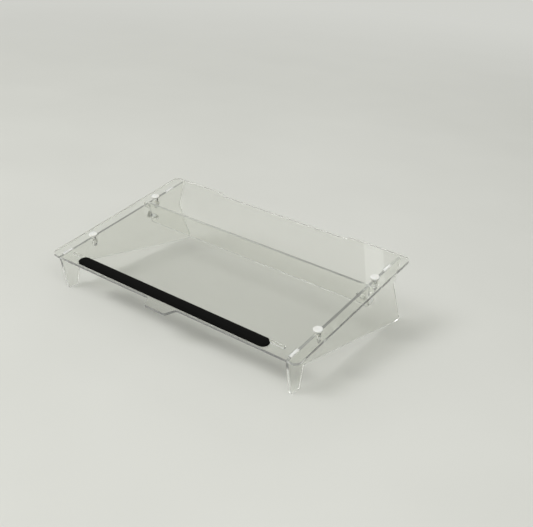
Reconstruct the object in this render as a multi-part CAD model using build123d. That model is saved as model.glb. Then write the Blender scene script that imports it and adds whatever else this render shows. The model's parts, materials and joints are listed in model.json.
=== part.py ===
from build123d import *
import math
import os

# A sloping document holder of clear sheet, held together by white nylon thumb screws.
# Sizes are in millimetres. Each piece is built in the slope frame: x runs to the right,
# s runs up the slope from the platform's front edge, and n is the height above the
# platform's underside. slope_to_desk() then stands it on its feet, with +Z up.

# Platform
PLATFORM_WIDTH = 545.0
PLATFORM_DEPTH = 335.0
SHEET_THICKNESS = 5.0
SLOPE_ANGLE = 11.5
FRONT_HEIGHT = 65.0
PLATFORM_CORNER_RADIUS = 10.0

# Pull tab on the platform's front edge
TAB_PROJECTION = 19.0
TAB_ROOT_WIDTH = 63.0
TAB_TIP_WIDTH = 45.0
TAB_TIP_RADIUS = 6.0
TAB_ROOT_RADIUS = 6.0

# Shallow recess along the middle of the platform's rear edge
RECESS_DEPTH = 7.5
RECESS_MOUTH_WIDTH = 297.0
RECESS_FLOOR_WIDTH = 286.0
RECESS_CORNER_RADIUS = 2.5

# Side panels
PLATFORM_OVERHANG = 18.0
PANEL_FRONT_INSET = 1.5
PANEL_REAR_INSET = 1.0
FRONT_FOOT_SETBACK = 18.0
FRONT_FOOT_LENGTH = 21.0
FRONT_LEG_FLARE = 5.0
FRONT_LEG_HEIGHT = 41.0
REAR_FOOT_REACH = 29.5
REAR_FOOT_LENGTH = 16.0
REAR_WAIST_SETBACK = 13.5
REAR_WAIST_DROP = 46.5
PANEL_CORNER_RADIUS = 2.5

# Tenons that rise through the platform
TENON_LENGTH = 21.0
FRONT_TENON_FROM_FRONT = 20.0
REAR_TENON_FROM_REAR = 46.0
JOINT_CLEARANCE = 0.2

# Brace between the side panels
BRACE_FROM_REAR = 104.5
BRACE_DEPTH = 41.5
BRACE_CORNER_RADIUS = 4.0
EAR_HEIGHT = 12.0
EAR_PROJECTION = 9.5
EAR_CORNER_RADIUS = 1.5

# Thumb screws and their nuts
SCREW_DIAMETER = 6.0
SCREW_REACH = 18.5
HEAD_DIAMETER = 16.0
HEAD_HEIGHT = 4.0
HEAD_EDGE_RADIUS = 1.2
SCREW_HOLE_CLEARANCE = 0.3
THREAD_CLEARANCE = 0.05
NUT_ACROSS_FLATS = 10.0
NUT_HEIGHT = 5.0
NUT_DEPTH = 7.5
NUT_TRAVEL = 2.0
NUT_SIDE_CLEARANCE = 0.15
NUT_END_CLEARANCE = 0.4
TIP_CLEARANCE = 1.0
TIP_CHAMFER = 0.6
FRONT_SCREW_FROM_FRONT = 83.0
REAR_SCREW_BEHIND_BRACE = 19.5
SIDE_SCREW_DEPTH = 26.0

# Ledge that holds the paper, and the soft strip over it
LEDGE_LENGTH = 470.0
LEDGE_FROM_FRONT = 18.0
LEDGE_WIDTH = 5.0
LEDGE_HEIGHT = 3.0
STRIP_LENGTH = 420.0
STRIP_FROM_FRONT = 2.2
STRIP_WIDTH = 22.0
STRIP_HEIGHT = 4.4
STRIP_EDGE_RADIUS = 1.2
STRIP_GROOVE_CLEARANCE = 0.15

# How far a cut runs past what it cuts, and how near a corner lies to its stated place
CUT_OVERRUN = 1.0
POINT_TOLERANCE = 0.01

# Places that follow from the sizes above
SLOPE = math.radians(SLOPE_ANGLE)
PANEL_OUTER_X = PLATFORM_WIDTH / 2 - PLATFORM_OVERHANG
PANEL_CENTRE_X = PANEL_OUTER_X - SHEET_THICKNESS / 2
PANEL_INNER_X = PANEL_OUTER_X - SHEET_THICKNESS
BRACE_S = PLATFORM_DEPTH - BRACE_FROM_REAR
TENON_PLACES = (FRONT_TENON_FROM_FRONT, PLATFORM_DEPTH - REAR_TENON_FROM_REAR)
SCREW_PLACES = (FRONT_SCREW_FROM_FRONT, BRACE_S + REAR_SCREW_BEHIND_BRACE)
SCREW_HOLE_RADIUS = SCREW_DIAMETER / 2 + SCREW_HOLE_CLEARANCE


def in_slope(y, z):
    """The slope frame's (s, n) of a point given as y behind the front edge and z above the desk."""
    rise = z - FRONT_HEIGHT
    s = y * math.cos(SLOPE) + rise * math.sin(SLOPE)
    n = rise * math.cos(SLOPE) - y * math.sin(SLOPE)
    return (s, n)


def block(x_range, s_range, n_range):
    """A box between the given limits in the slope frame."""
    size = [high - low for low, high in (x_range, s_range, n_range)]
    centre = [(high + low) / 2 for low, high in (x_range, s_range, n_range)]
    return Pos(*centre) * Box(*size)


def around(centre, width):
    """The limits of a span of that width about its centre."""
    return (centre - width / 2, centre + width / 2)


def rectangle(width, y_range):
    """A rectangle of that width about the Y axis, between two places along it."""
    low, high = y_range
    return Pos(0, (low + high) / 2) * Rectangle(width, high - low)


def upright_cylinder(radius, x, s, n_range):
    """A cylinder square to the platform."""
    low, high = n_range
    return Pos(x, s, (low + high) / 2) * Cylinder(radius, high - low)


def round_corners(face, places, radius):
    """Rounds the face's corners that lie at the given places in its own plane."""

    def is_picked(corner):
        return any(math.dist((corner.X, corner.Y), place) < POINT_TOLERANCE for place in places)

    return fillet([corner for corner in face.vertices() if is_picked(corner)], radius)


def nut_slot():
    """The cut for a screw and its captive nut, running in from an edge at the origin.

    The screw lies along -Y from the edge, and the cut passes through a sheet lying in XY.
    """
    stem = rectangle(2 * SCREW_HOLE_RADIUS, (-SCREW_REACH - TIP_CLEARANCE, CUT_OVERRUN))
    pocket_length = NUT_HEIGHT + NUT_TRAVEL + NUT_END_CLEARANCE
    pocket_width = NUT_ACROSS_FLATS + 2 * NUT_SIDE_CLEARANCE
    pocket = rectangle(pocket_width, (-NUT_DEPTH - pocket_length, -NUT_DEPTH))
    return extrude(stem + pocket, SHEET_THICKNESS, both=True)


def make_platform():
    """The sloping top sheet with its pull tab, rear recess, mortises and screw holes."""
    sheet = Pos(0, PLATFORM_DEPTH / 2) * RectangleRounded(
        PLATFORM_WIDTH, PLATFORM_DEPTH, PLATFORM_CORNER_RADIUS
    )
    root, tip = TAB_ROOT_WIDTH / 2, TAB_TIP_WIDTH / 2
    overlap = 2 * TAB_ROOT_RADIUS
    tab = make_face(
        Polyline(
            (-root, overlap),
            (-root, 0),
            (-tip, -TAB_PROJECTION),
            (tip, -TAB_PROJECTION),
            (root, 0),
            (root, overlap),
            close=True,
        )
    )
    mouth, floor = RECESS_MOUTH_WIDTH / 2, RECESS_FLOOR_WIDTH / 2
    floor_s = PLATFORM_DEPTH - RECESS_DEPTH
    recess_corners = [(-mouth, PLATFORM_DEPTH), (-floor, floor_s), (floor, floor_s), (mouth, PLATFORM_DEPTH)]
    beyond = PLATFORM_DEPTH + CUT_OVERRUN
    recess = make_face(Polyline(*recess_corners, (mouth, beyond), (-mouth, beyond), close=True))
    outline = (sheet + tab - recess).face()
    outline = round_corners(outline, [(-tip, -TAB_PROJECTION), (tip, -TAB_PROJECTION)], TAB_TIP_RADIUS)
    outline = round_corners(outline, [(-root, 0), (root, 0)], TAB_ROOT_RADIUS)
    outline = round_corners(outline, recess_corners, RECESS_CORNER_RADIUS)
    platform = extrude(outline, SHEET_THICKNESS, dir=(0, 0, 1))
    through = (-CUT_OVERRUN, SHEET_THICKNESS + CUT_OVERRUN)
    for side in (-1, 1):
        x = side * PANEL_CENTRE_X
        for s in TENON_PLACES:
            mortise_x = around(x, SHEET_THICKNESS + 2 * JOINT_CLEARANCE)
            mortise_s = around(s, TENON_LENGTH + 2 * JOINT_CLEARANCE)
            platform -= block(mortise_x, mortise_s, through)
        for s in SCREW_PLACES:
            platform -= upright_cylinder(SCREW_HOLE_RADIUS, x, s, through)
    return platform


def panel_outline():
    """The side panel's outline as (s, n) points, from the front top corner round by the feet."""
    slope_rise = math.tan(SLOPE)
    front_foot_y = FRONT_FOOT_SETBACK + PANEL_FRONT_INSET
    leg_back_y = front_foot_y + FRONT_FOOT_LENGTH
    rear_top_s = PLATFORM_DEPTH - PANEL_REAR_INSET
    rear_top_y = rear_top_s * math.cos(SLOPE)
    rear_top_z = FRONT_HEIGHT + rear_top_y * slope_rise
    rear_foot_y = rear_top_y + REAR_FOOT_REACH
    return [
        (PANEL_FRONT_INSET, 0),
        in_slope(front_foot_y, 0),
        in_slope(leg_back_y, 0),
        in_slope(leg_back_y + FRONT_LEG_FLARE, FRONT_LEG_HEIGHT),
        in_slope(rear_foot_y - REAR_FOOT_LENGTH, 0),
        in_slope(rear_foot_y, 0),
        in_slope(rear_top_y - REAR_WAIST_SETBACK, rear_top_z - REAR_WAIST_DROP),
        (rear_top_s, 0),
    ]


def make_side_panel(side):
    """One upright side panel; side is -1 for the left one and 1 for the right one."""
    points = panel_outline()
    outline = make_face(Polyline(*points, close=True))
    outline = round_corners(outline, points[1:], PANEL_CORNER_RADIUS)
    for s in TENON_PLACES:
        outline += Pos(s, SHEET_THICKNESS / 2) * Rectangle(TENON_LENGTH, SHEET_THICKNESS)
    panel = extrude(outline, SHEET_THICKNESS / 2, both=True)
    for s in SCREW_PLACES:
        panel -= Pos(s, 0) * nut_slot()
    notch_width = SHEET_THICKNESS + 2 * JOINT_CLEARANCE
    notch = rectangle(notch_width, (-EAR_HEIGHT - JOINT_CLEARANCE, CUT_OVERRUN))
    panel -= Pos(BRACE_S, 0) * extrude(notch, SHEET_THICKNESS, both=True)
    screw_hole = Cylinder(SCREW_HOLE_RADIUS, SHEET_THICKNESS + 2 * CUT_OVERRUN)
    panel -= Pos(BRACE_S, -SIDE_SCREW_DEPTH) * screw_hole
    standing = Plane(origin=(side * PANEL_CENTRE_X, 0, 0), x_dir=(0, 1, 0), z_dir=(1, 0, 0))
    return standing.location * panel


def make_brace():
    """The cross plate between the side panels, with an ear and a nut slot at each end."""
    body = Pos(0, -BRACE_DEPTH / 2) * Rectangle(2 * PANEL_INNER_X, BRACE_DEPTH)
    low_corners = [(side * PANEL_INNER_X, -BRACE_DEPTH) for side in (-1, 1)]
    body = round_corners(body.face(), low_corners, BRACE_CORNER_RADIUS)
    ear_reach = PANEL_OUTER_X + EAR_PROJECTION
    ears = Pos(0, -EAR_HEIGHT / 2) * Rectangle(2 * ear_reach, EAR_HEIGHT)
    ear_corners = [(side * ear_reach, n) for side in (-1, 1) for n in (0, -EAR_HEIGHT)]
    ears = round_corners(ears.face(), ear_corners, EAR_CORNER_RADIUS)
    brace = extrude(body + ears, SHEET_THICKNESS / 2, both=True)
    for side in (-1, 1):
        inward = Pos(side * PANEL_INNER_X, -SIDE_SCREW_DEPTH) * Rot(0, 0, -90 * side)
        brace -= inward * nut_slot()
    across = Plane(origin=(0, BRACE_S, 0), x_dir=(1, 0, 0), z_dir=(0, -1, 0))
    return across.location * brace


def make_ledge():
    """The low bar that stops the paper from sliding down."""
    x_range = around(0, LEDGE_LENGTH)
    s_range = (LEDGE_FROM_FRONT, LEDGE_FROM_FRONT + LEDGE_WIDTH)
    return block(x_range, s_range, (SHEET_THICKNESS, SHEET_THICKNESS + LEDGE_HEIGHT))


def make_soft_strip():
    """The soft strip with round ends that lies over the ledge."""
    place = Pos(0, STRIP_FROM_FRONT + STRIP_WIDTH / 2, SHEET_THICKNESS)
    strip = extrude(place * SlotOverall(STRIP_LENGTH, STRIP_WIDTH), STRIP_HEIGHT, dir=(0, 0, 1))
    top_edges = strip.faces().sort_by(Axis.Z)[-1].edges()
    strip = fillet(top_edges, STRIP_EDGE_RADIUS)
    groove_x = around(0, STRIP_LENGTH + 2 * CUT_OVERRUN)
    groove_s = around(LEDGE_FROM_FRONT + LEDGE_WIDTH / 2, LEDGE_WIDTH + 2 * STRIP_GROOVE_CLEARANCE)
    groove_top = SHEET_THICKNESS + LEDGE_HEIGHT + STRIP_GROOVE_CLEARANCE
    return strip - block(groove_x, groove_s, (SHEET_THICKNESS - CUT_OVERRUN, groove_top))


def thumb_screw():
    """A thumb screw standing on the XY plane, its shank pointing down -Z."""
    head = Pos(0, 0, HEAD_HEIGHT / 2) * Cylinder(HEAD_DIAMETER / 2, HEAD_HEIGHT)
    head = fillet(head.edges().filter_by(GeomType.CIRCLE), HEAD_EDGE_RADIUS)
    shank_length = SHEET_THICKNESS + SCREW_REACH
    shank = Pos(0, 0, -shank_length / 2) * Cylinder(SCREW_DIAMETER / 2, shank_length)
    shank = chamfer(shank.edges().sort_by(Axis.Z)[0], TIP_CHAMFER)
    return head + shank


def nut():
    """A hexagon nut with its seat on the XY plane, its body below it."""
    bore_radius = SCREW_DIAMETER / 2 + THREAD_CLEARANCE
    hexagon = RegularPolygon(NUT_ACROSS_FLATS / 2, 6, major_radius=False)
    return extrude(hexagon - Circle(bore_radius), NUT_HEIGHT, dir=(0, 0, -1))


def fastener_places():
    """Each fastener's name, and where its head's seat is in the slope frame."""
    places = {}
    for side, hand in ((-1, "left"), (1, "right")):
        for s, end in zip(SCREW_PLACES, ("front", "rear")):
            places[f"{hand}_{end}"] = Pos(side * PANEL_CENTRE_X, s, SHEET_THICKNESS)
        outward = Plane(
            origin=(side * PANEL_OUTER_X, BRACE_S, -SIDE_SCREW_DEPTH),
            x_dir=(0, 1, 0),
            z_dir=(side, 0, 0),
        )
        places[f"{hand}_brace"] = outward.location
    return places


def slope_to_desk(part):
    """Stands a piece of the slope frame on the desk."""
    slope_plane = Plane(
        origin=(0, 0, FRONT_HEIGHT),
        x_dir=(1, 0, 0),
        z_dir=(0, -math.sin(SLOPE), math.cos(SLOPE)),
    )
    return slope_plane.location * part


def make_pieces():
    """Every piece by name, standing on the desk with the platform's front edge at y = 0."""
    pieces = {
        "platform": make_platform(),
        "left_side_panel": make_side_panel(-1),
        "right_side_panel": make_side_panel(1),
        "brace": make_brace(),
        "paper_ledge": make_ledge(),
        "soft_strip": make_soft_strip(),
    }
    nut_seat = Pos(0, 0, -SHEET_THICKNESS - NUT_DEPTH)
    for name, place in fastener_places().items():
        pieces[f"{name}_thumb_screw"] = place * thumb_screw()
        pieces[f"{name}_nut"] = place * nut_seat * nut()
    return {name: slope_to_desk(part) for name, part in pieces.items()}


def main():
    """Centres the holder over the origin and writes one file for each piece."""
    pieces = make_pieces()
    boxes = [part.bounding_box() for part in pieces.values()]
    middle_y = (min(box.min.Y for box in boxes) + max(box.max.Y for box in boxes)) / 2
    os.makedirs("parts", exist_ok=True)
    for name, part in pieces.items():
        export_step(Pos(0, -middle_y, 0) * part, f"parts/{name}.step")
    print("front edge at y =", -middle_y)


if __name__ == "__main__":
    main()
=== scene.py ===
"""Looks of a sloping document holder: clear sheets, white thumb screws and a soft black strip.

Lengths are in metres. The slope frame has x to the right, s up the slope and n square to the
platform.
"""

from __future__ import annotations

import json
import logging
import math
from collections.abc import Callable, Iterator, Sequence
from contextlib import contextmanager
from dataclasses import dataclass, field
from enum import Enum

import bmesh
import bpy
from mathutils import Matrix, Vector

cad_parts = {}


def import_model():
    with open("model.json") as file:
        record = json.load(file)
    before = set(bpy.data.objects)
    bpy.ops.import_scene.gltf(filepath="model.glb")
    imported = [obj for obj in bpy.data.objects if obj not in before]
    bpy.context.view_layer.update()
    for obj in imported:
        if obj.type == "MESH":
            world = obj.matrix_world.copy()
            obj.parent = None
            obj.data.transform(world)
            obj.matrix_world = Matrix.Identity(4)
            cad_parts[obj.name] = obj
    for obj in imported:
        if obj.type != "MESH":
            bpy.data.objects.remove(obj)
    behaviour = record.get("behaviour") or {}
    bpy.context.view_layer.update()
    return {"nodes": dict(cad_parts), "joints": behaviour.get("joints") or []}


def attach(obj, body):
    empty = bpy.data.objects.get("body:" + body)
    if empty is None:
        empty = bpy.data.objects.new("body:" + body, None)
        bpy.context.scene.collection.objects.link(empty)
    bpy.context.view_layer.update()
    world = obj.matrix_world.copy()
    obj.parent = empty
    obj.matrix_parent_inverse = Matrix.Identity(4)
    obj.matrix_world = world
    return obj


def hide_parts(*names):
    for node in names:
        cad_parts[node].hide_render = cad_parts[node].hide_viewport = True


LOG = logging.getLogger("document_holder")
MM = 0.001
SAME_PLACE = MM / 100
UPRIGHT_LIMIT = 0.1  # the normal's Z stays below this on an upright face
LEVEL_LIMIT = 0.99  # and above this on a level one
STAND = "stand"
WORLD_X = Vector((1.0, 0.0, 0.0))
Colour = tuple[float, float, float]


class Slot(Enum):
    """The record's material slots."""

    SHEET = "clear_sheet"
    NYLON = "white_nylon"
    STRIP = "soft_strip"


class Hand(Enum):
    """The two sides of the holder."""

    LEFT = "left"
    RIGHT = "right"


class Place(Enum):
    """Where along each side a screw stands."""

    FRONT = "front"
    REAR = "rear"
    BRACE = "brace"


class Element(Enum):
    """What is selected in edit mode, each with the name of its list in a bmesh."""

    VERT = "verts"
    EDGE = "edges"
    FACE = "faces"


# ---------------------------------------------------------------- shader building


@dataclass(frozen=True)
class Pattern:
    """A noise pattern: cells to a metre, number of finer layers, and scale along each axis."""

    scale: float
    detail: float
    stretch: Colour = (1.0, 1.0, 1.0)


class Value:
    """A shader socket that takes part in Python arithmetic."""

    def __init__(self, tree: ShaderTree, socket: bpy.types.NodeSocket) -> None:
        """Wraps an output socket of the tree."""
        self.tree = tree
        self.socket = socket

    def _maths(self, operation: str, other: Operand) -> Value:
        """One Math node.

        Args:
            operation: the Math node's operation.
            other: the second operand, where this value is the first.

        Returns:
            The node's result.
        """
        node = self.tree.node("ShaderNodeMath", {0: self, 1: other}, operation=operation)
        return Value(self.tree, node.outputs[0])

    def __add__(self, other: Operand) -> Value:
        """Self plus other."""
        return self._maths("ADD", other)

    def __mul__(self, other: Operand) -> Value:
        """Self times other."""
        return self._maths("MULTIPLY", other)


Operand = Value | float
Inputs = dict[str | int, object]


class ShaderTree:
    """The node tree of one material or of the world."""

    def __init__(self, tree: bpy.types.NodeTree) -> None:
        """Empties the tree, ready for building."""
        self.tree = tree
        tree.nodes.clear()

    def node(self, kind: str, inputs: Inputs | None = None, **settings: object) -> bpy.types.Node:
        """Adds one node.

        Args:
            kind: the node's type.
            inputs: socket name or number to a number, colour, socket, Value, or node, which
                stands for its first output.
            settings: its own settings, or stops for a colour ramp, set before its sockets.

        Returns:
            The new node.
        """
        made = self.tree.nodes.new(kind)
        for key, setting in settings.items():
            if key == "stops":
                self._set_stops(made, setting)
            else:
                setattr(made, key, setting)
        for key, given in (inputs or {}).items():
            if isinstance(given, Value):
                given = given.socket
            elif isinstance(given, bpy.types.Node):
                given = given.outputs[0]
            if isinstance(given, bpy.types.NodeSocket):
                self.tree.links.new(given, made.inputs[key])
            else:
                made.inputs[key].default_value = given
        return made

    @staticmethod
    def _set_stops(ramp: bpy.types.Node, stops: Sequence[tuple[float, Colour]]) -> None:
        """Gives a colour ramp its stops.

        Args:
            ramp: the ramp's node.
            stops: each stop's place and colour, in order.
        """
        elements = ramp.color_ramp.elements
        while len(elements) < len(stops):
            elements.new(1.0)
        for element, (place, colour) in zip(elements, stops):
            element.position = place
            element.color = (*colour, 1.0)

    def own_place(self) -> bpy.types.NodeSocket:
        """The place on the piece's own coordinates."""
        return self.node("ShaderNodeTexCoord").outputs["Object"]

    def noise(self, pattern: Pattern) -> Value:
        """A noise pattern on the piece's own coordinates.

        Args:
            pattern: the pattern.

        Returns:
            The noise, about 0 to 1.
        """
        mapped = self.node(
            "ShaderNodeMapping", {"Vector": self.own_place(), "Scale": pattern.stretch}
        )
        noise = self.node(
            "ShaderNodeTexNoise",
            {"Vector": mapped, "Scale": pattern.scale, "Detail": pattern.detail},
        )
        return Value(self, noise.outputs[0])

    def tones(
        self, source: Value, low: Colour, high: Colour, start: float = 0.3, end: float = 0.7
    ) -> Value:
        """A colour that goes from low to high as source goes from start to end.

        Args:
            source: the value that is followed.
            low: the colour at the start and below.
            high: the colour at the end and above.
            start: the source's value at the start.
            end: the source's value at the end.

        Returns:
            The colour.
        """
        ramp = self.node("ShaderNodeValToRGB", {0: source}, stops=[(start, low), (end, high)])
        return Value(self, ramp.outputs[0])

    def bump(self, height: Value, distance: float, strength: float) -> Value:
        """A normal from a height pattern.

        Args:
            height: the pattern.
            distance: its depth.
            strength: how much of it is used.

        Returns:
            The normal.
        """
        node = self.node(
            "ShaderNodeBump", {"Height": height, "Distance": distance, "Strength": strength}
        )
        return Value(self, node.outputs[0])

    def mix(
        self, share: bpy.types.NodeSocket, first: bpy.types.Node, second: bpy.types.Node
    ) -> bpy.types.Node:
        """Two shaders mixed, with that share of the second."""
        return self.node("ShaderNodeMixShader", {0: share, 1: first, 2: second})

    def for_rays(
        self, rays: Sequence[str], shader: bpy.types.Node, instead: bpy.types.Node
    ) -> bpy.types.Node:
        """Uses another shader for some kinds of ray.

        Args:
            rays: the Light Path node's outputs for those rays.
            shader: the shader for all others.
            instead: the shader for those rays.

        Returns:
            The shader for every ray.
        """
        path = self.node("ShaderNodeLightPath")
        for ray in rays:
            shader = self.mix(path.outputs[ray], shader, instead)
        return shader

    def end(self, shader: bpy.types.Node, kind: str = "ShaderNodeOutputMaterial") -> None:
        """Gives the tree its output."""
        self.node(kind, {"Surface": shader})

    def end_clear(self, glass: bpy.types.Node, tint: Colour) -> None:
        """Ends a clear material so that light reaches what is behind it, and is counted once.

        Args:
            glass: the shader that is seen.
            tint: the share of light that each face of its shadow lets through.
        """
        film = self.node("ShaderNodeBsdfTransparent", {"Color": (*tint, 1.0)})
        self.end(self.for_rays(("Is Shadow Ray", "Is Diffuse Ray"), glass, film))


def new_material(name: str) -> tuple[bpy.types.Material, ShaderTree]:
    """Makes a material.

    Args:
        name: the material's name.

    Returns:
        The material and its tree.
    """
    material = bpy.data.materials.new(name)
    material.use_nodes = True
    return material, ShaderTree(material.node_tree)


def lighter(colour: Colour, by: float) -> Colour:
    """A colour times a number, at most white."""
    return tuple(min(1.0, part * by) for part in colour)


# ---------------------------------------------------------------- finishes


@dataclass(frozen=True)
class ClearSheetFinish:
    """Clear acrylic: polished faces with faint wiping marks."""

    name: str = "clear_acrylic_face"
    tint: Colour = (0.93, 0.936, 0.912)
    tint_spread: float = 1.012
    shadow_tint: Colour = (0.86, 0.863, 0.852)
    ior: float = 1.49
    polish: float = 0.004
    haze: float = 0.03
    smudges: Pattern = Pattern(14.0, 3.0)
    wipes: Pattern = Pattern(240.0, 2.0, (0.12, 1.0, 1.0))

    def build(self) -> bpy.types.Material:
        """Builds the finish's shader.

        Returns:
            The material.
        """
        material, tree = new_material(self.name)
        smudge = tree.noise(self.smudges)
        wipe = tree.noise(self.wipes)
        glass = tree.node(
            "ShaderNodeBsdfPrincipled",
            {
                "Base Color": tree.tones(smudge, self.tint, lighter(self.tint, self.tint_spread)),
                "Roughness": smudge * wipe * self.haze + self.polish,
                "IOR": self.ior,
                "Transmission Weight": 1.0,
            },
        )
        tree.end_clear(glass, self.shadow_tint)
        return material


@dataclass(frozen=True)
class CutEdgeFinish:
    """The sheet's cut edges: a little frosted, so that they catch light, with cutter's lines."""

    name: str = "clear_acrylic_cut_edge"
    tint: Colour = (0.86, 0.87, 0.85)
    tint_spread: float = 1.05
    shadow_tint: Colour = (0.8, 0.81, 0.8)
    ior: float = 1.49
    clearness: float = 0.7
    polish: float = 0.035
    frost: float = 0.1
    frosting: Pattern = Pattern(90.0, 2.0)
    lines: Pattern = Pattern(2600.0, 1.0, (1.0, 1.0, 0.02))
    line_depth: float = 0.02 * MM
    line_strength: float = 0.3

    def build(self) -> bpy.types.Material:
        """Builds the finish's shader.

        Returns:
            The material.
        """
        material, tree = new_material(self.name)
        lines = tree.noise(self.lines)
        dull = tree.noise(self.frosting)
        glass = tree.node(
            "ShaderNodeBsdfPrincipled",
            {
                "Base Color": tree.tones(dull, self.tint, lighter(self.tint, self.tint_spread)),
                "Roughness": dull * self.frost + self.polish,
                "IOR": self.ior,
                "Transmission Weight": self.clearness,
                "Normal": tree.bump(lines, self.line_depth, self.line_strength),
            },
        )
        tree.end_clear(glass, self.shadow_tint)
        return material


@dataclass(frozen=True)
class TenonEndHighlightFinish(CutEdgeFinish):
    """The tenon ends that rise through the platform: cut edges too, but whiter and duller, a
    lighter copy of the cut edge that paints a highlight on the tenon tops.
    """

    name: str = "clear_acrylic_tenon_end"
    # whiter tint and lower clearness than the other cut edges: a painted highlight
    tint: Colour = (0.93, 0.938, 0.918)
    clearness: float = 0.35
    polish: float = 0.12


@dataclass(frozen=True)
class NylonFinish:
    """Natural white nylon, moulded, with a satin skin that lets a little light in."""

    name: str = "white_nylon"
    shade: Colour = (0.67, 0.675, 0.65)
    light: Colour = (0.74, 0.745, 0.72)
    roughness: float = 0.34
    roughness_spread: float = 0.14
    clouds: Pattern = Pattern(260.0, 3.0)
    skin: Pattern = Pattern(1500.0, 4.0)
    skin_depth: float = 0.02 * MM
    skin_strength: float = 0.5
    glow: float = 0.6
    glow_depth: float = 2.5 * MM
    glow_spread: Colour = (1.0, 0.97, 0.88)

    def build(self) -> bpy.types.Material:
        """Builds the finish's shader.

        Returns:
            The material.
        """
        material, tree = new_material(self.name)
        cloud = tree.noise(self.clouds)
        skin = tree.noise(self.skin)
        shader = tree.node(
            "ShaderNodeBsdfPrincipled",
            {
                "Base Color": tree.tones(cloud, self.shade, self.light),
                "Roughness": cloud * self.roughness_spread + self.roughness,
                "Subsurface Weight": self.glow,
                "Subsurface Radius": self.glow_spread,
                "Subsurface Scale": self.glow_depth,
                "Normal": tree.bump(skin, self.skin_depth, self.skin_strength),
            },
        )
        tree.end(shader)
        return material


@dataclass(frozen=True)
class SoftStripFinish:
    """Matte black soft rubber with a fine closed-cell grain."""

    name: str = "soft_black_rubber"
    shade: Colour = (0.002, 0.002, 0.002)
    light: Colour = (0.0055, 0.0055, 0.005)
    roughness: float = 0.7
    roughness_spread: float = 0.25
    specular_level: float = 0.07
    grain: Pattern = Pattern(1900.0, 3.0)
    grain_share: float = 0.6
    grain_depth: float = 0.12 * MM
    grain_strength: float = 0.7
    wear: Pattern = Pattern(45.0, 3.0)
    wear_share: float = 0.4

    def build(self) -> bpy.types.Material:
        """Builds the finish's shader.

        Returns:
            The material.
        """
        material, tree = new_material(self.name)
        grain = tree.noise(self.grain)
        wear = tree.noise(self.wear)
        both = grain * self.grain_share + wear * self.wear_share
        shader = tree.node(
            "ShaderNodeBsdfPrincipled",
            {
                "Base Color": tree.tones(both, self.shade, self.light),
                "Roughness": wear * self.roughness_spread + self.roughness,
                "Specular IOR Level": self.specular_level,
                "Normal": tree.bump(grain, self.grain_depth, self.grain_strength),
            },
        )
        tree.end(shader)
        return material


# ---------------------------------------------------------------- modelling


ElementTest = Callable[[bmesh.types.BMVert | bmesh.types.BMEdge | bmesh.types.BMFace], bool]


def add_object(name: str, data: bpy.types.ID) -> bpy.types.Object:
    """Makes an object and puts it in the scene.

    Args:
        name: its name.
        data: its mesh, camera or light.

    Returns:
        The object.
    """
    obj = bpy.data.objects.new(name, data)
    bpy.context.scene.collection.objects.link(obj)
    return obj


def turn_to(first: Vector, second: Vector, third: Vector) -> Matrix:
    """The turn that takes X, Y and Z to three directions."""
    return Matrix((first, second, third)).transposed().to_4x4()


def is_level(edge: bmesh.types.BMEdge) -> bool:
    """True for an edge that lies level."""
    return abs(edge.verts[0].co.z - edge.verts[1].co.z) < SAME_PLACE


def extrude(along_x: float, along_z: float) -> None:
    """Extrudes what is selected in edit mode."""
    bpy.ops.mesh.extrude_region_move(TRANSFORM_OT_translate={"value": (along_x, 0, along_z)})


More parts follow.
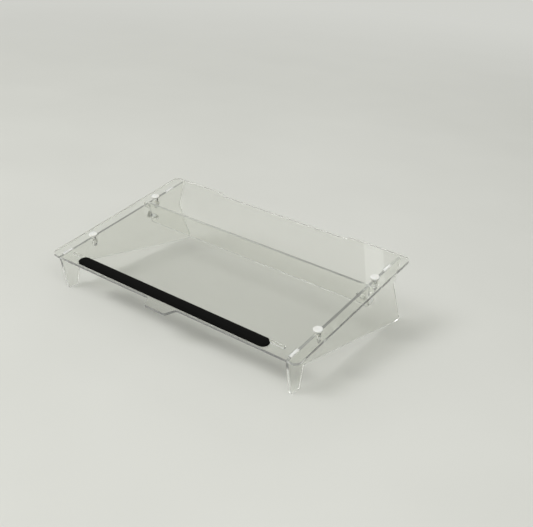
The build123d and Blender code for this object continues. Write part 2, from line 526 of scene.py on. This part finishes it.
class Workpiece:
    """One piece on the bench, shaped with Blender's modelling operators."""

    cad_merge: float = 0.002 * MM
    cad_flatness: float = math.radians(0.4)
    own_merge: float = 0.001 * MM

    def __init__(self, obj: bpy.types.Object, name: str) -> None:
        """Takes an object and names it and its mesh.

        Args:
            obj: the object.
            name: its new name.
        """
        self.obj = obj
        obj.name = name
        obj.data.name = name

    @staticmethod
    def _clear_selection() -> None:
        """Leaves nothing selected."""
        bpy.ops.object.select_all(action="DESELECT")

    @classmethod
    def cylinder(cls, name: str, radius: float, low: float, high: float, sides: int) -> Workpiece:
        """A cylinder about Z between two heights.

        Args:
            name: the piece's name.
            radius: the radius to a corner.
            low: the lower end.
            high: the upper end.
            sides: how many sides it has.

        Returns:
            The cylinder.
        """
        cls._clear_selection()
        bpy.ops.mesh.primitive_cylinder_add(
            vertices=sides, radius=radius, depth=high - low, location=(0, 0, (low + high) / 2)
        )
        return cls(bpy.context.object, name)._settled()

    @classmethod
    def block(cls, name: str, low: Vector, high: Vector) -> Workpiece:
        """A box between two corners.

        Args:
            name: the piece's name.
            low: its lowest corner.
            high: its highest corner.

        Returns:
            The box.
        """
        cls._clear_selection()
        bpy.ops.mesh.primitive_cube_add(size=1.0, location=(low + high) / 2)
        bpy.context.object.scale = high - low
        return cls(bpy.context.object, name)._settled()

    @classmethod
    def disc(cls, name: str, radius: float, sides: int) -> Workpiece:
        """A flat filled disc on the XY plane.

        Args:
            name: the piece's name.
            radius: the radius.
            sides: how many sides it has.

        Returns:
            The disc.
        """
        cls._clear_selection()
        bpy.ops.mesh.primitive_circle_add(vertices=sides, radius=radius, fill_type="NGON")
        return cls(bpy.context.object, name)._settled()

    @classmethod
    def point(cls, name: str, place: Vector) -> Workpiece:
        """A single vertex, from which a profile is drawn.

        Args:
            name: the piece's name.
            place: where the vertex stands.

        Returns:
            The piece.
        """
        cls._clear_selection()
        bpy.ops.mesh.primitive_plane_add(size=MM, location=place)
        piece = cls(bpy.context.object, name)._settled()
        with piece.editing(Element.VERT):
            bpy.ops.mesh.merge(type="CENTER")
        return piece

    @classmethod
    def copy_of(cls, name: str, node: bpy.types.Object) -> Workpiece:
        """A merged copy of a CAD node's mesh, with its flat faces whole.

        Args:
            name: the piece's name.
            node: the CAD node.

        Returns:
            The copy.
        """
        piece = cls(add_object(name, node.data.copy()), name)
        piece.obj.data.materials.clear()
        with piece.editing(Element.VERT):
            bpy.ops.mesh.remove_doubles(threshold=cls.cad_merge)
            bpy.ops.mesh.dissolve_limited(angle_limit=cls.cad_flatness)
        bpy.ops.mesh.customdata_custom_splitnormals_clear()
        return piece

    def copy(self, name: str) -> Workpiece:
        """A copy with its own mesh."""
        return Workpiece(add_object(name, self.obj.data.copy()), name)

    def scrap(self) -> None:
        """Removes the piece."""
        bpy.data.objects.remove(self.obj, do_unlink=True)

    def _activate(self) -> None:
        """Makes this the one selected and active object."""
        self._clear_selection()
        self.obj.select_set(True)
        bpy.context.view_layer.objects.active = self.obj

    def _settled(self) -> Workpiece:
        """Puts the piece's place and size into its mesh.

        Returns:
            The piece.
        """
        self._activate()
        bpy.ops.object.transform_apply(location=True, rotation=True, scale=True)
        return self

    @contextmanager
    def editing(self, element: Element, test: ElementTest | None = None) -> Iterator[None]:
        """Opens edit mode with what passes a test selected.

        Args:
            element: what is tested and selected.
            test: true for an element that is wanted; without a test all are selected.

        Yields:
            Nothing; edit mode ends with the block.
        """
        self._activate()
        bpy.ops.object.mode_set(mode="EDIT")
        bpy.ops.mesh.select_mode(type=element.name)
        bpy.ops.mesh.select_all(action="DESELECT" if test else "SELECT")
        try:
            if test:
                self._pick(element, test)
            yield
        finally:
            bpy.ops.object.mode_set(mode="OBJECT")

    def _pick(self, element: Element, test: ElementTest) -> None:
        """Adds to the selection what passes a test.

        Args:
            element: what is tested and selected.
            test: true for an element that is wanted.
        """
        mesh = bmesh.from_edit_mesh(self.obj.data)
        wanted = [one for one in getattr(mesh, element.value) if test(one)]
        for one in wanted:
            one.select_set(True)
        bmesh.update_edit_mesh(self.obj.data)

    def bevel_edges(self, test: ElementTest, width: float, segments: int) -> None:
        """Rounds the edges that pass the test.

        Args:
            test: true for an edge that is rounded.
            width: the width of the rounding.
            segments: how many flats it is made of.
        """
        with self.editing(Element.EDGE, test):
            bpy.ops.mesh.bevel(offset=width, segments=segments, affect="EDGES", clamp_overlap=True)

    def modify(self, kind: str, **settings: object) -> None:
        """Adds a modifier and applies it.

        Args:
            kind: the modifier's type.
            settings: its settings.
        """
        self._activate()
        modifier = self.obj.modifiers.new(kind, kind)
        for key, setting in settings.items():
            setattr(modifier, key, setting)
        bpy.ops.object.modifier_apply(modifier=modifier.name)

    def combine(self, other: Workpiece, operation: str) -> None:
        """Adds, cuts or intersects with another piece, which is used up."""
        self.modify("BOOLEAN", operation=operation, object=other.obj, solver="EXACT")
        other.scrap()

    def shrink(self, by: float) -> None:
        """Moves every face inwards, so that an air film lies between pieces that touch."""
        with self.editing(Element.VERT):
            bpy.ops.transform.shrink_fatten(value=-by, use_even_offset=True)

    def smooth(self, angle: float) -> None:
        """Smooth shading, except across edges sharper than the angle in degrees."""
        self._activate()
        bpy.ops.object.shade_smooth_by_angle(angle=math.radians(angle))

    def complete(self, angle: float, finish: bpy.types.Material) -> None:
        """Turns every face outwards, after merging what lies together, and gives it its looks.

        Args:
            angle: the sharpest edge that is shaded smooth, in degrees.
            finish: the piece's one material.
        """
        self.face_out()
        self.smooth(angle)
        self.dress(finish)

    def face_out(self) -> None:
        """Turns every face outwards, after merging what lies together."""
        with self.editing(Element.VERT):
            bpy.ops.mesh.remove_doubles(threshold=self.own_merge)
            bpy.ops.mesh.normals_make_consistent(inside=False)

    def place(self, matrix: Matrix) -> Workpiece:
        """Moves the mesh itself, leaving the object at the origin.

        Args:
            matrix: the move.

        Returns:
            The piece.
        """
        self.obj.data.transform(matrix)
        self.obj.data.update()
        return self

    def dress(self, *materials: bpy.types.Material) -> None:
        """Gives the piece its material slots, in order.

        Args:
            materials: one material for each slot.
        """
        self.obj.data.materials.clear()
        for material in materials:
            self.obj.data.materials.append(material)

    def paint(self, material: bpy.types.Material, test: ElementTest) -> None:
        """Gives the faces that pass the test one of the piece's materials.

        Args:
            material: the material.
            test: true for a face that is painted.
        """
        with self.editing(Element.FACE, test):
            self.obj.active_material_index = self.obj.data.materials.find(material.name)
            bpy.ops.object.material_slot_assign()

    def hand_over(self, body: str, slot: Slot, node: bpy.types.Object) -> None:
        """Lets the piece ride its body and stand for its CAD node.

        Args:
            body: the CAD body that it moves with.
            slot: the record's material slot.
            node: the CAD node that it stands for, which is dressed alike.
        """
        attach(self.obj, body)
        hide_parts(node.name)
        for own in node.material_slots:
            own.material = self.obj.data.materials[0]
        faces = len(self.obj.data.polygons)
        LOG.info("%s rides %s, slot %s, %d faces", self.obj.name, body, slot.value, faces)


# ---------------------------------------------------------------- the frame


@dataclass
class Slope:
    """The slope frame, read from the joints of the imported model."""

    up: Vector
    nodes: dict[str, bpy.types.Object]
    along: Vector = field(init=False)

    def __post_init__(self) -> None:
        """Works out the direction up the slope."""
        self.along = self.up.cross(WORLD_X).normalized()

    @property
    def matrix(self) -> Matrix:
        """The turn from the slope frame to the row frame."""
        return turn_to(WORLD_X, self.along, self.up)

    def extent(self, node: str) -> tuple[Vector, Vector]:
        """The lowest and highest x, s and n of a CAD node.

        Args:
            node: the node's name.

        Returns:
            The two corners.
        """
        turn = self.matrix.to_3x3().transposed()
        corners = [turn @ v.co for v in self.nodes[node].data.vertices]
        low = Vector(min(c[i] for c in corners) for i in range(3))
        high = Vector(max(c[i] for c in corners) for i in range(3))
        return low, high


# ---------------------------------------------------------------- sub-assemblies


@dataclass
class SheetWork:
    """The cut sheets: platform, side panels, brace and paper ledge."""

    slope: Slope
    face: bpy.types.Material
    edge: bpy.types.Material
    tenon_end: bpy.types.Material
    edge_break: float = 0.35 * MM
    break_segments: int = 2
    break_angle: float = math.radians(40.0)
    air_film: float = 0.03 * MM
    face_limit: float = 0.3
    tenon_margin: float = 0.2 * MM
    smooth_up_to: float = 35.0
    normal_weight: int = 100

    def facings(self) -> dict[str, Vector]:
        """Says which way each sheet's two faces look.

        Returns:
            The direction for each node's name.
        """
        return {
            "platform": self.slope.up,
            "left_side_panel": WORLD_X,
            "right_side_panel": WORLD_X,
            "brace": self.slope.along,
            "paper_ledge": self.slope.up,
        }

    def build(self) -> None:
        """Builds every sheet from its CAD node."""
        for name, facing in self.facings().items():
            self._build_sheet(name, facing)

    def _build_sheet(self, name: str, facing: Vector) -> None:
        """One sheet, with its sharp corners broken and its cut edges marked.

        Args:
            name: the CAD node.
            facing: the direction that its faces look in.
        """
        node = self.slope.nodes[name]
        sheet = Workpiece.copy_of(f"clear_{name}", node)
        sheet.shrink(self.air_film)
        sheet.modify(
            "BEVEL",
            width=self.edge_break,
            segments=self.break_segments,
            limit_method="ANGLE",
            angle_limit=self.break_angle,
            use_clamp_overlap=True,
        )
        sheet.dress(self.face, self.edge, self.tenon_end)
        sheet.paint(self.edge, lambda f: abs(f.normal.dot(facing)) < self.face_limit)
        # the panels' tenon tops take the whiter tenon-end copy of the cut edge, a painted
        # highlight
        if "panel" in name:
            height = self.slope.extent("platform")[1].z - self.tenon_margin
            sheet.paint(
                self.tenon_end, lambda f: f.calc_center_median().dot(self.slope.up) > height
            )
        sheet.smooth(self.smooth_up_to)
        sheet.modify("WEIGHTED_NORMAL", keep_sharp=True, weight=self.normal_weight)
        sheet.hand_over(STAND, Slot.SHEET, node)


@dataclass
class SoftStrip:
    """The soft black strip with round ends and a crowned top, grooved over the ledge."""

    slope: Slope
    finish: bpy.types.Material
    end_sides: int = 96
    crown_steps: int = 7
    crown_reach: float = 0.36
    edge_rise: float = 0.45
    foot_inset: float = 0.25 * MM
    groove_play: float = 0.15 * MM
    smooth_up_to: float = 50.0

    def build(self) -> None:
        """Builds the strip in the space of its CAD node."""
        low, high = self.slope.extent("soft_strip")
        width, height = high.y - low.y, high.z - low.z
        middle = (low + high) / 2
        strip = Workpiece.disc("soft_black_strip", width / 2 - self.foot_inset, self.end_sides)
        half_run = (high.x - low.x - width) / 2
        for side in (-1, 1):
            self._draw_out(strip, side, half_run)
        self._raise(strip, height, width)
        strip.place(Matrix.Translation((middle.x, middle.y, low.z)))
        strip.combine(self._groove(low, high), "DIFFERENCE")
        strip.place(self.slope.matrix)
        strip.complete(self.smooth_up_to, self.finish)
        strip.hand_over(STAND, Slot.STRIP, self.slope.nodes["soft_strip"])

    @staticmethod
    def _draw_out(strip: Workpiece, side: int, run: float) -> None:
        """Moves one half of the disc's rim out to its end of the strip.

        Args:
            strip: the disc.
            side: 1 for the right half, -1 for the left.
            run: how far it moves.
        """
        with strip.editing(Element.VERT, lambda v: v.co.x * side > SAME_PLACE):
            bpy.ops.transform.translate(value=(side * run, 0, 0))

    def _raise(self, strip: Workpiece, height: float, width: float) -> None:
        """Extrudes the wall and then the crown, in steps along a quarter of an ellipse.

        Args:
            strip: the strip's flat outline.
            height: the strip's height.
            width: the strip's width.
        """
        wall = height * self.edge_rise
        reach = width * self.crown_reach
        with strip.editing(Element.FACE):
            extrude(0, self.foot_inset)
            bpy.ops.mesh.inset(thickness=-self.foot_inset, use_even_offset=True)
            extrude(0, wall - self.foot_inset)
            before = (0.0, 0.0)
            for step in range(1, self.crown_steps + 1):
                angle = math.pi / 2 * step / self.crown_steps
                now = (reach * (1 - math.cos(angle)), (height - wall) * math.sin(angle))
                bpy.ops.mesh.inset(thickness=now[0] - before[0], use_even_offset=True)
                bpy.ops.transform.translate(value=(0, 0, now[1] - before[1]))
                before = now

    def _groove(self, low: Vector, high: Vector) -> Workpiece:
        """The block that cuts the groove for the ledge.

        Args:
            low: the strip's lowest corner.
            high: the strip's highest corner.

        Returns:
            The block.
        """
        ledge_low, ledge_high = self.slope.extent("paper_ledge")
        play = self.groove_play
        return Workpiece.block(
            "groove",
            Vector((low.x - MM, ledge_low.y - play, low.z - MM)),
            Vector((high.x + MM, ledge_high.y + play, ledge_high.z + play)),
        )


@dataclass
class ThumbScrew:
    """A thumb screw, its head standing on the XY plane and its shank pointing down.

    The thread's shares of the pitch are its rising flank, crest, falling flank and root.
    """

    finish: bpy.types.Material
    head_radius: float = 7.97 * MM
    head_height: float = 3.97 * MM
    head_round: float = 1.15 * MM
    round_segments: int = 4
    knurl_sides: int = 112
    knurl_depth: float = 0.2 * MM
    knurl_margin: float = 0.05 * MM
    dish_inset: float = 1.5 * MM
    dish_depth: float = 0.16 * MM
    thread_radius: float = 2.96 * MM
    root_radius: float = 2.42 * MM
    pitch: float = 1.0 * MM
    thread_shares: tuple[float, ...] = (0.32, 0.14, 0.32, 0.22)
    thread_steps: int = 40
    spare_turns: int = 2
    plain_neck: float = 1.2 * MM
    neck_margin: float = 0.02 * MM
    into_head: float = 0.5 * MM
    shank_sides: int = 64
    tip_chamfer: float = 0.6 * MM
    shank_length: float = 23.5 * MM
    smooth_up_to: float = 32.0

    def build(self) -> Workpiece:
        """Makes the screw.

        Returns:
            The screw.
        """
        screw = self._head()
        screw.combine(self._shank(), "UNION")
        screw.complete(self.smooth_up_to, self.finish)
        return screw

    def _head(self) -> Workpiece:
        """Makes the round head with its knurled rim and shallow dish.

        Returns:
            The head.
        """
        head = Workpiece.cylinder(
            "screw_head", self.head_radius, 0, self.head_height, self.knurl_sides
        )
        head.bevel_edges(is_level, self.head_round, self.round_segments)
        share = 1 - self.knurl_depth / self.head_radius
        with head.editing(Element.FACE, self._is_groove):
            bpy.ops.mesh.inset(thickness=self.knurl_margin, use_individual=True)
            bpy.ops.transform.resize(value=(share, share, 1.0))
        with head.editing(Element.FACE, self._is_top):
            bpy.ops.mesh.inset(thickness=self.dish_inset)
            bpy.ops.mesh.inset(thickness=self.dish_depth)
            bpy.ops.transform.translate(value=(0, 0, -self.dish_depth))
        return head

    def _is_groove(self, face: bmesh.types.BMFace) -> bool:
        """Picks every second upright face of the rim.

        Args:
            face: a face of the head.

        Returns:
            Whether it becomes a groove.
        """
        centre = face.calc_center_median()
        on_rim = self.head_round < centre.z < self.head_height - self.head_round
        step = math.tau / self.knurl_sides
        number = round(math.atan2(centre.y, centre.x) / step - 0.5)
        return abs(face.normal.z) < UPRIGHT_LIMIT and on_rim and number % 2 == 0

    @staticmethod
    def _is_top(face: bmesh.types.BMFace) -> bool:
        """True for the head's flat top, and for no small face beside it."""
        return face.normal.z > LEVEL_LIMIT and face.calc_area() > MM * MM

    def _shank(self) -> Workpiece:
        """Makes the threaded shank, cut to its length and chamfered at its tip.

        Returns:
            The shank.
        """
        shank = self._helix()
        envelope = self._rod("envelope", self.thread_radius, -self.shank_length)
        tip = -self.shank_length + SAME_PLACE
        envelope.bevel_edges(lambda e: max(v.co.z for v in e.verts) < tip, self.tip_chamfer, 1)
        shank.combine(envelope, "INTERSECT")
        neck = self._rod("neck", self.root_radius + self.neck_margin, -self.plain_neck)
        shank.combine(neck, "UNION")
        return shank

    def _rod(self, name: str, radius: float, low: float) -> Workpiece:
        """A plain rod from a height up into the head."""
        return Workpiece.cylinder(name, radius, low, self.into_head, self.shank_sides)

    def _helix(self) -> Workpiece:
        """Makes a closed right-hand thread, longer than the shank at its lower end.

        Returns:
            The thread.
        """
        turns = math.ceil((self.shank_length - self.plain_neck) / self.pitch) + self.spare_turns
        bottom = -self.plain_neck - (turns - 1) * self.pitch
        profile = Workpiece.point("screw_shank", Vector((self.root_radius, 0, bottom)))
        rise = self.thread_radius - self.root_radius
        with profile.editing(Element.VERT):
            for outwards, share in zip((rise, 0.0, -rise, 0.0), self.thread_shares):
                extrude(outwards, share * self.pitch)
        profile.modify(
            "SCREW",
            axis="Z",
            angle=math.tau,
            screw_offset=self.pitch,
            iterations=turns,
            steps=self.thread_steps,
            render_steps=self.thread_steps,
            use_merge_vertices=True,
        )
        profile.face_out()
        self._saw(profile, bottom + self.pitch, keep_above=True)
        self._saw(profile, -self.plain_neck, keep_above=False)
        profile.face_out()
        return profile

    @staticmethod
    def _saw(piece: Workpiece, height: float, keep_above: bool) -> None:
        """Cuts the piece off square at a height and closes it there.

        Args:
            piece: the piece.
            height: where it is cut.
            keep_above: whether the upper part is kept.
        """
        with piece.editing(Element.VERT):
            bpy.ops.mesh.bisect(
                plane_co=(0, 0, height),
                plane_no=(0, 0, 1),
                use_fill=True,
                clear_inner=keep_above,
                clear_outer=not keep_above,
            )


@dataclass
class CaptiveNut:
    """A hexagon nut about the origin, with a corner towards X."""

    finish: bpy.types.Material
    flats: float = 9.96 * MM
    height: float = 4.96 * MM
    bore: float = 3.05 * MM
    bore_sides: int = 64
    bore_margin: float = 0.05 * MM
    countersink: float = 0.35 * MM
    chamfer: float = 0.45 * MM
    chamfer_segments: int = 2
    collar_inset: float = 0.08 * MM
    collar_sides: int = 96
    corner_turn: float = math.radians(30.0)
    smooth_up_to: float = 30.0

    def build(self) -> Workpiece:
        """Makes the nut. The primitive has a corner along Y, and is turned first.

        Returns:
            The nut.
        """
        corner = self.flats / math.sqrt(3)
        nut = self._prism("nut", corner, 6)
        nut.place(Matrix.Rotation(self.corner_turn, 4, "Z"))
        collar = self._prism("collar", corner - self.collar_inset, self.collar_sides)
        collar.bevel_edges(is_level, self.chamfer, self.chamfer_segments)
        nut.combine(collar, "INTERSECT")
        nut.combine(self._prism("bore", self.bore, self.bore_sides, MM), "DIFFERENCE")
        nut.bevel_edges(self._is_rim, self.countersink, self.chamfer_segments)
        nut.complete(self.smooth_up_to, self.finish)
        return nut

    def _prism(self, name: str, radius: float, sides: int, longer: float = 0.0) -> Workpiece:
        """A prism about the origin, as high as the nut, or longer at each end.

        Args:
            name: the piece's name.
            radius: the radius to a corner.
            sides: how many sides it has.
            longer: how far it stands out at each end.

        Returns:
            The prism.
        """
        half = self.height / 2 + longer
        return Workpiece.cylinder(name, radius, -half, half, sides)

    def _is_rim(self, edge: bmesh.types.BMEdge) -> bool:
        """Picks the two rims of the bore.

        Args:
            edge: an edge of the nut.

        Returns:
            Whether it lies on the bore, in an end face.
        """
        reach = self.bore + self.bore_margin
        return all(
            math.hypot(v.co.x, v.co.y) < reach
            and abs(abs(v.co.z) - self.height / 2) < SAME_PLACE
            for v in edge.verts
        )


@dataclass
class Fasteners:
    """The six thumb screws and their captive nuts."""

    slope: Slope
    joints: dict[str, dict]
    finish: bpy.types.Material

    def build(self) -> None:
        """Models one screw and one nut, and puts a copy of each in its six places."""
        screw = ThumbScrew(self.finish).build()
        nut = CaptiveNut(self.finish).build()
        for hand in Hand:
            for place in Place:
                self._fit(screw, nut, f"{hand.value}_{place.value}", place)
        screw.scrap()
        nut.scrap()

    def _fit(self, screw: Workpiece, nut: Workpiece, key: str, place: Place) -> None:
        """Copies the screw and the nut to one place.

        Args:
            screw: the screw that is copied.
            nut: the nut that is copied.
            key: the names' first part, as left_front.
            place: which kind of place it is.
        """
        seat = self._seat(key, place)
        turned = screw.copy(f"{key}_white_thumb_screw").place(seat)
        screw_name, nut_name = f"{key}_thumb_screw", f"{key}_nut"
        turned.hand_over(screw_name, Slot.NYLON, self.slope.nodes[screw_name])
        node = self.slope.nodes[nut_name]
        inverse = seat.inverted()
        heights = [(inverse @ v.co).z for v in node.data.vertices]
        shift = Matrix.Translation((0, 0, (min(heights) + max(heights)) / 2))
        moved = nut.copy(f"{key}_white_nut").place(seat @ shift)
        moved.hand_over(nut_name, Slot.NYLON, node)

    def _seat(self, key: str, place: Place) -> Matrix:
        """The frame of a head's seat: Z out of the head, X square to the sheet with the nut.

        Args:
            key: the names' first part, as left_front.
            place: which kind of place it is.

        Returns:
            The frame.
        """
        joint = self.joints[f"{key}_screw_turn"]
        out = Vector(joint["axis"]).normalized()
        across = self.slope.along if place is Place.BRACE else WORLD_X
        return Matrix.Translation(joint["pos_m"]) @ turn_to(across, out.cross(across), out)


# ---------------------------------------------------------------- studio


@dataclass(frozen=True)
class Camera:
    """The photograph's viewpoint, found from the holder's own corners."""

    focal_pixels: float = 849.169
    picture_width: float = 533.0
    sensor_width: float = 36.0
    yaw: float = math.radians(35.312)
    pitch: float = math.radians(24.919)
    roll: float = math.radians(4.659)
    place: Vector = field(default_factory=lambda: Vector((0.842818, -1.072974, 0.725376)))

    def build(self) -> None:
        """Adds the camera and makes it the scene's own."""
        forward = Vector(
            (
                -math.sin(self.yaw) * math.cos(self.pitch),
                math.cos(self.yaw) * math.cos(self.pitch),
                -math.sin(self.pitch),
            )
        )
        level = Vector((math.cos(self.yaw), math.sin(self.yaw), 0.0))
        above = level.cross(forward)
        right = math.cos(self.roll) * level + math.sin(self.roll) * above
        up = math.cos(self.roll) * above - math.sin(self.roll) * level
        data = bpy.data.cameras.new("viewpoint")
        data.sensor_width = self.sensor_width
        data.lens = self.focal_pixels * self.sensor_width / self.picture_width
        obj = add_object("viewpoint", data)
        obj.matrix_world = Matrix.Translation(self.place) @ turn_to(right, up, -forward)
        bpy.context.scene.camera = obj


@dataclass(frozen=True)
class Lamp:
    """One soft rectangular lamp that looks at the holder, mirrored in its sheets or not."""

    name: str
    place: tuple[float, float, float]
    size: tuple[float, float]
    watts: float
    mirrored: bool = True

    def build(self, target: Vector) -> None:
        """Adds the lamp, aimed at the target.

        Args:
            target: the point that it looks at.
        """
        data = bpy.data.lights.new(self.name, "AREA")
        data.shape = "RECTANGLE"
        data.size, data.size_y = self.size
        data.energy = self.watts
        obj = add_object(self.name, data)
        obj.visible_glossy = self.mirrored
        aim = (target - Vector(self.place)).to_track_quat("-Z", "Y")
        obj.matrix_world = Matrix.Translation(self.place) @ aim.to_matrix().to_4x4()


@dataclass(frozen=True)
class Studio:
    """A plain pale floor, a pale dome that darkens a little overhead, and soft lamps."""

    floor_shade: Colour = (0.635, 0.64, 0.602)
    floor_light: Colour = (0.655, 0.66, 0.622)
    floor_clouds: Pattern = Pattern(3.0, 2.0)
    floor_roughness: float = 0.55
    floor_specular_level: float = 0.2
    floor_size: float = 60.0
    even_from: float = 1.4
    even_to: float = 4.0
    horizon: Colour = (0.64, 0.645, 0.608)
    overhead: Colour = (0.3, 0.3, 0.29)
    overhead_from: float = 0.75
    bounces: int = 32
    lamp_target: tuple[float, float, float] = (0.0, 0.0, 0.08)
    lamps: tuple[Lamp, ...] = (
        Lamp("key_lamp", (-2.4, -4.2, 5.4), (2.6, 2.6), 370.0, mirrored=False),
        Lamp("side_lamp", (4.2, -1.8, 3.6), (1.2, 2.4), 80.0, mirrored=False),
        Lamp("back_lamp", (-1.6, 3.4, 1.9), (1.4, 0.5), 9.0),
        Lamp("streak_lamp", (-1.45, 2.45, 2.95), (0.12, 1.5), 0.3),
    )

    def build(self) -> None:
        """Builds the floor, the dome and the lamps, and sets plain colour and the bounces."""
        self._floor()
        self._dome()
        for lamp in self.lamps:
            lamp.build(Vector(self.lamp_target))
        scene = bpy.context.scene
        scene.view_settings.view_transform = "Standard"
        scene.cycles.max_bounces = scene.cycles.transmission_bounces = self.bounces
        scene.cycles.transparent_max_bounces = self.bounces

    def _floor(self) -> None:
        """The pale floor, which is one even tone far away."""
        bpy.ops.object.select_all(action="DESELECT")
        bpy.ops.mesh.primitive_plane_add(size=self.floor_size)
        floor = bpy.context.object
        floor.name = "floor"
        material, tree = new_material("pale_floor")
        cloud = tree.noise(self.floor_clouds)
        near = tree.node(
            "ShaderNodeBsdfPrincipled",
            {
                "Base Color": tree.tones(cloud, self.floor_shade, self.floor_light),
                "Roughness": self.floor_roughness,
                "Specular IOR Level": self.floor_specular_level,
            },
        )
        reach = tree.node("ShaderNodeVectorMath", {0: tree.own_place()}, operation="LENGTH")
        share = tree.node(
            "ShaderNodeMapRange",
            {
                "Value": reach.outputs["Value"],
                "From Min": self.even_from,
                "From Max": self.even_to,
            },
            interpolation_type="SMOOTHSTEP",
        )
        far = tree.node("ShaderNodeEmission", {"Color": (*self.horizon, 1.0)})
        tree.end(tree.mix(share.outputs[0], near, far))
        floor.data.materials.append(material)

    def _dome(self) -> None:
        """The world: it lights from a dome that darkens overhead, and is seen as one tone."""
        world = bpy.data.worlds.new("dome")
        bpy.context.scene.world = world
        world.use_nodes = True
        tree = ShaderTree(world.node_tree)
        direction = tree.node("ShaderNodeTexCoord").outputs["Generated"]
        height = tree.node("ShaderNodeSeparateXYZ", {0: direction}).outputs["Z"]
        colour = tree.tones(
            Value(tree, height), self.horizon, self.overhead, 0.0, self.overhead_from
        )
        lighting = tree.node("ShaderNodeBackground", {"Color": colour})
        seen = tree.node("ShaderNodeBackground", {"Color": (*self.horizon, 1.0)})
        rays = ("Is Camera Ray", "Is Glossy Ray", "Is Transmission Ray")
        tree.end(tree.for_rays(rays, lighting, seen), "ShaderNodeOutputWorld")


def main() -> None:
    """Builds the holder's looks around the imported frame."""
    logging.basicConfig(level=logging.INFO, format="%(message)s")
    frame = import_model()
    joints = {joint["name"]: joint for joint in frame["joints"]}
    up = Vector(joints["left_front_screw_turn"]["axis"]).normalized()
    slope = Slope(up=up, nodes=frame["nodes"])
    nylon = NylonFinish().build()
    face, edge = ClearSheetFinish().build(), CutEdgeFinish().build()
    SheetWork(slope, face, edge, TenonEndHighlightFinish().build()).build()
    SoftStrip(slope, SoftStripFinish().build()).build()
    Fasteners(slope, joints, nylon).build()
    Studio().build()
    Camera().build()


if __name__ == "__main__":
    main()
